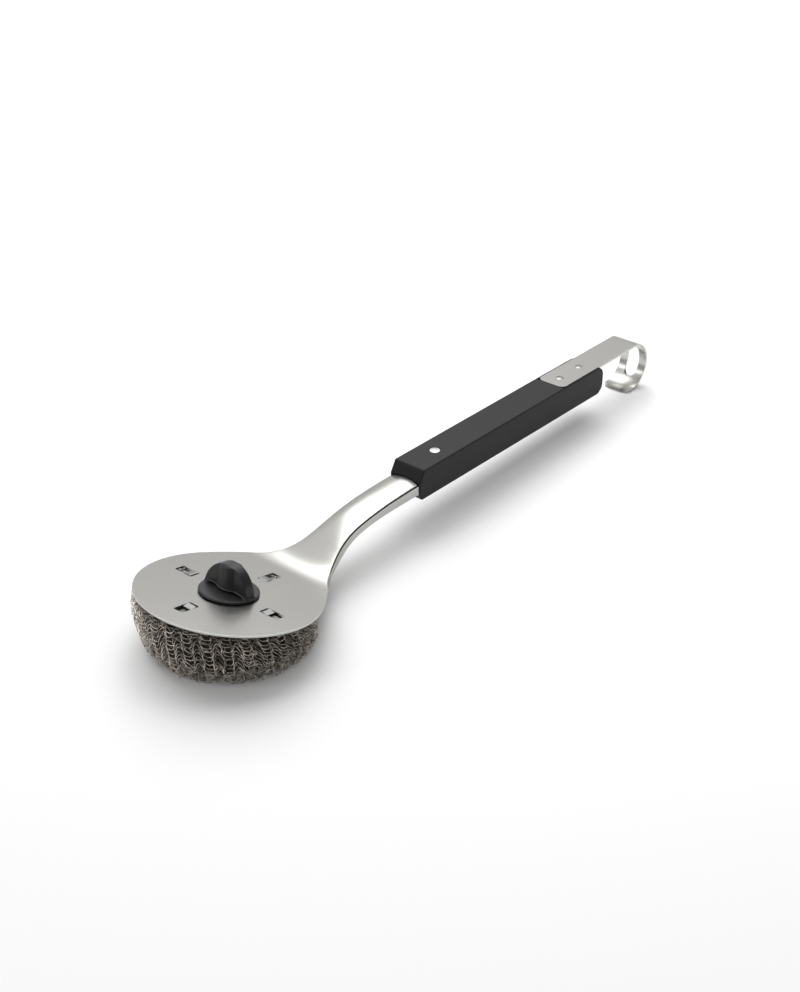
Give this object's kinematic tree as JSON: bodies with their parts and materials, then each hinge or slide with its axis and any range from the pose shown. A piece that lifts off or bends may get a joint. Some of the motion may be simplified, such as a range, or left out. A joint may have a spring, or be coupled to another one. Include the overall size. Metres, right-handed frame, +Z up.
{
  "type": "grill brush",
  "caption": "Round grill brush: a knob on the steel disc opens claws that hold a knitted steel scourer, with an arched neck, a black handle and a steel hanging hook.",
  "frame": {"origin": "on the scourer's flat base, at the height of the surface that the brush stands on, straight below the centre of the disc's top face", "axes": "+Y along the handle from the head to the hook, +Z up from the surface, +X across to the right. The disc and the knob's axis lean 12 degrees from +Z towards +Y"},
  "size_m": [0.1042, 0.4538, 0.0452],
  "materials": {
    "satin_steel": "satin brushed stainless sheet",
    "spring_steel": "plain stainless spring strip",
    "bright_steel": "bright turned steel",
    "knitted_steel": "knitted stainless flat wire",
    "black_plastic": "fine matt moulded",
    "knob_plastic": "matt moulded",
    "washer_plastic": "natural moulded"
  },
  "bodies": {
    "brush": {"head_plate": "satin_steel", "scourer": "knitted_steel", "handle_grip": "black_plastic", "front_rivet": "bright_steel", "rivet_burr": "bright_steel", "hook_strap": "satin_steel", "hook_rivet_front": "bright_steel", "hook_rivet_rear": "bright_steel"},
    "knob": {"knob": "knob_plastic", "knob_washer": "washer_plastic", "spindle": "bright_steel", "wave_washer": "spring_steel", "scroll_plate": "spring_steel", "screw_washer": "bright_steel", "spindle_screw": "bright_steel"},
    "claw_right": {"claw_right": "spring_steel", "follower_pin_right": "bright_steel"},
    "claw_heel": {"claw_heel": "spring_steel", "follower_pin_heel": "bright_steel"},
    "claw_left": {"claw_left": "spring_steel", "follower_pin_left": "bright_steel"},
    "claw_toe": {"claw_toe": "spring_steel", "follower_pin_toe": "bright_steel"}
  },
  "joints": [
    {"name": "knob_turn", "type": "hinge", "parent": "brush", "child": "knob", "pos_m": [0, 0, 0.0278], "axis": [0, 0.2079, 0.9781], "range_deg": [0, 90]},
    {"name": "claw_right_slide", "type": "slide", "parent": "brush", "child": "claw_right", "axis": [1, 0, 0], "range_m": [0, 0.006]},
    {"name": "claw_heel_slide", "type": "slide", "parent": "brush", "child": "claw_heel", "axis": [0, 0.9781, -0.2079], "range_m": [0, 0.006]},
    {"name": "claw_left_slide", "type": "slide", "parent": "brush", "child": "claw_left", "axis": [-1, 0, 0], "range_m": [0, 0.006]},
    {"name": "claw_toe_slide", "type": "slide", "parent": "brush", "child": "claw_toe", "axis": [0, -0.9781, 0.2079], "range_m": [0, 0.006]}
  ],
  "couplings": [
    {"joint": "claw_right_slide", "follows": "knob_turn", "m_per_rad": 0.0038197},
    {"joint": "claw_heel_slide", "follows": "knob_turn", "m_per_rad": 0.0038197},
    {"joint": "claw_left_slide", "follows": "knob_turn", "m_per_rad": 0.0038197},
    {"joint": "claw_toe_slide", "follows": "knob_turn", "m_per_rad": 0.0038197}
  ]
}
